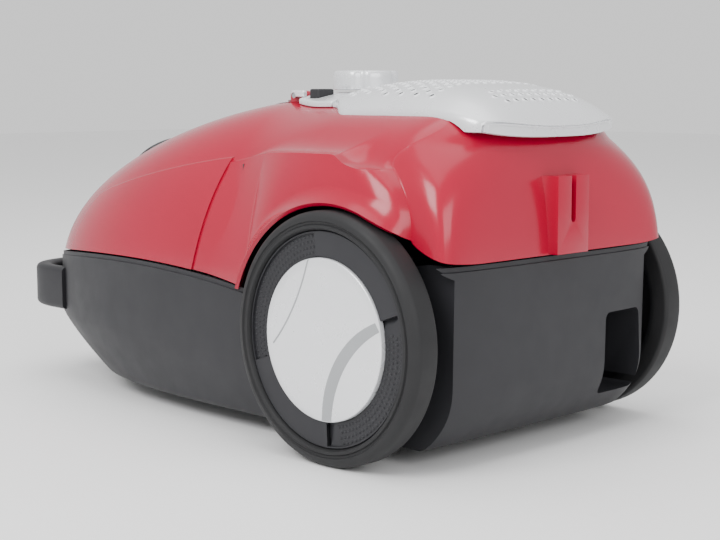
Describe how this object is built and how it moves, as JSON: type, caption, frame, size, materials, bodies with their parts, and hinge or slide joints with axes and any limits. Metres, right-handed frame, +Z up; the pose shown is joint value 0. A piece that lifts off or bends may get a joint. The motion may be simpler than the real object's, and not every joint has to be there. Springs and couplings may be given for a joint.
{
  "type": "canister vacuum cleaner",
  "caption": "Two-tone canister vacuum cleaner with a hinged bag lid, silver exhaust grille, lobed knob, large rear wheels and a carry handle.",
  "frame": {"origin": "on the floor under the middle of the machine's length and width", "axes": "+Z up, -Y towards the hose end, +X towards the machine's left side"},
  "size_m": [0.297, 0.524, 0.262],
  "materials": {
    "gloss_red": "glossy moulded",
    "charcoal_plastic": "fine texture",
    "silver_plastic": "silver lacquer",
    "tyre_rubber": "matt",
    "seal_rubber": "matt",
    "black_plastic": "satin",
    "steel": "turned",
    "cast_aluminium": "as cast",
    "stator_iron": "wound core",
    "white_plastic": "satin",
    "filter_fabric": "non-woven",
    "bag_card": "pressed card",
    "circuit_board": "lacquered"
  },
  "bodies": {
    "root": {"rear_cover": "gloss_red", "console_panel": "silver_plastic", "hinge_pin_left": "steel", "hinge_pin_right": "steel", "potentiometer": "black_plastic", "control_board": "circuit_board", "power_switch": "black_plastic", "parking_bracket": "gloss_red", "lower_housing": "charcoal_plastic", "housing_screw_1": "steel", "housing_screw_2": "steel", "housing_screw_3": "steel", "housing_screw_4": "steel", "cord_outlet": "black_plastic", "front_handle": "charcoal_plastic", "left_wheel_axle": "steel", "left_axle_clip": "steel", "right_wheel_axle": "steel", "right_axle_clip": "steel", "bulkhead": "black_plastic", "motor_filter": "filter_fabric", "dust_bag": "filter_fabric", "bag_collar": "bag_card", "bag_holder": "black_plastic", "lid_seal": "seal_rubber", "motor_seal": "seal_rubber", "motor_housing": "black_plastic", "motor_stator": "stator_iron", "motor_mount": "seal_rubber", "motor_cradle": "black_plastic", "exhaust_filter": "filter_fabric", "reel_frame": "steel", "reel_axle": "steel", "reel_spring_case": "black_plastic", "brake_pivot": "steel"},
    "lid": {"front_lid": "gloss_red", "hose_port": "black_plastic", "lid_trim": "silver_plastic"},
    "latch": {"lid_latch": "charcoal_plastic"},
    "grille": {"exhaust_grille": "silver_plastic"},
    "knob": {"power_knob": "silver_plastic"},
    "power_button": {"power_key": "charcoal_plastic"},
    "rewind_button": {"rewind_key": "charcoal_plastic"},
    "brake": {"brake_arm": "white_plastic"},
    "brake_wheel": {"brake_roller": "tyre_rubber"},
    "reel": {"reel_drum": "black_plastic"},
    "rotor": {"motor_shaft": "steel", "motor_impeller": "cast_aluminium"},
    "left_wheel": {"left_tyre": "tyre_rubber", "left_wheel_disc": "charcoal_plastic", "left_hub_cap": "silver_plastic"},
    "right_wheel": {"right_tyre": "tyre_rubber", "right_wheel_disc": "charcoal_plastic", "right_hub_cap": "silver_plastic"},
    "caster": {"caster_fork": "charcoal_plastic", "caster_pin": "steel"},
    "caster_roller": {"caster_wheel": "tyre_rubber"}
  },
  "joints": [
    {"name": "lid_hinge", "type": "hinge", "parent": "root", "child": "lid", "pos_m": [0, 0.041, 0.243], "axis": [-1, 0, 0], "range_deg": [0, 46]},
    {"name": "latch_pull", "type": "hinge", "parent": "lid", "child": "latch", "pos_m": [0, -0.2523, 0.118], "axis": [-1, 0, 0], "range_deg": [0, 18], "stiffness_Nm_per_rad": 0.05},
    {"name": "grille_hinge", "type": "hinge", "parent": "root", "child": "grille", "pos_m": [0, 0.255, 0.2], "axis": [-1, 0, 0], "range_deg": [0, 60]},
    {"name": "knob_turn", "type": "hinge", "parent": "root", "child": "knob", "pos_m": [0, 0.065, 0.2472], "axis": [0, 0, 1], "range_deg": [-135, 135]},
    {"name": "power_press", "type": "slide", "parent": "root", "child": "power_button", "axis": [0, 0, -1], "range_m": [0, 0.0025], "stiffness_N_per_m": 400},
    {"name": "rewind_press", "type": "slide", "parent": "root", "child": "rewind_button", "axis": [0, 0, -1], "range_m": [0, 0.004], "stiffness_N_per_m": 400},
    {"name": "brake_lift", "type": "hinge", "parent": "root", "child": "brake", "pos_m": [-0.072, 0.086, 0.193], "axis": [1, 0, 0], "range_deg": [0, 6]},
    {"name": "brake_roll", "type": "hinge", "parent": "brake", "child": "brake_wheel", "pos_m": [-0.066, 0.126, 0.193], "axis": [1, 0, 0], "continuous": true},
    {"name": "reel_spin", "type": "hinge", "parent": "root", "child": "reel", "pos_m": [-0.062, 0.126, 0.112], "axis": [1, 0, 0], "continuous": true},
    {"name": "motor_spin", "type": "hinge", "parent": "root", "child": "rotor", "pos_m": [0.028, 0.126, 0.092], "axis": [0, 1, 0], "continuous": true},
    {"name": "left_wheel_spin", "type": "hinge", "parent": "root", "child": "left_wheel", "pos_m": [0.137, 0.17, 0.085], "axis": [1, 0, 0], "continuous": true},
    {"name": "right_wheel_spin", "type": "hinge", "parent": "root", "child": "right_wheel", "pos_m": [-0.137, 0.17, 0.085], "axis": [1, 0, 0], "continuous": true},
    {"name": "caster_swivel", "type": "hinge", "parent": "root", "child": "caster", "pos_m": [0, -0.115, 0.036], "axis": [0, 0, 1], "continuous": true},
    {"name": "caster_roll", "type": "hinge", "parent": "caster", "child": "caster_roller", "pos_m": [0, -0.106, 0.013], "axis": [1, 0, 0], "continuous": true}
  ],
  "couplings": [
    {"joint": "brake_lift", "follows": "rewind_press", "rad_per_m": 24}
  ]
}
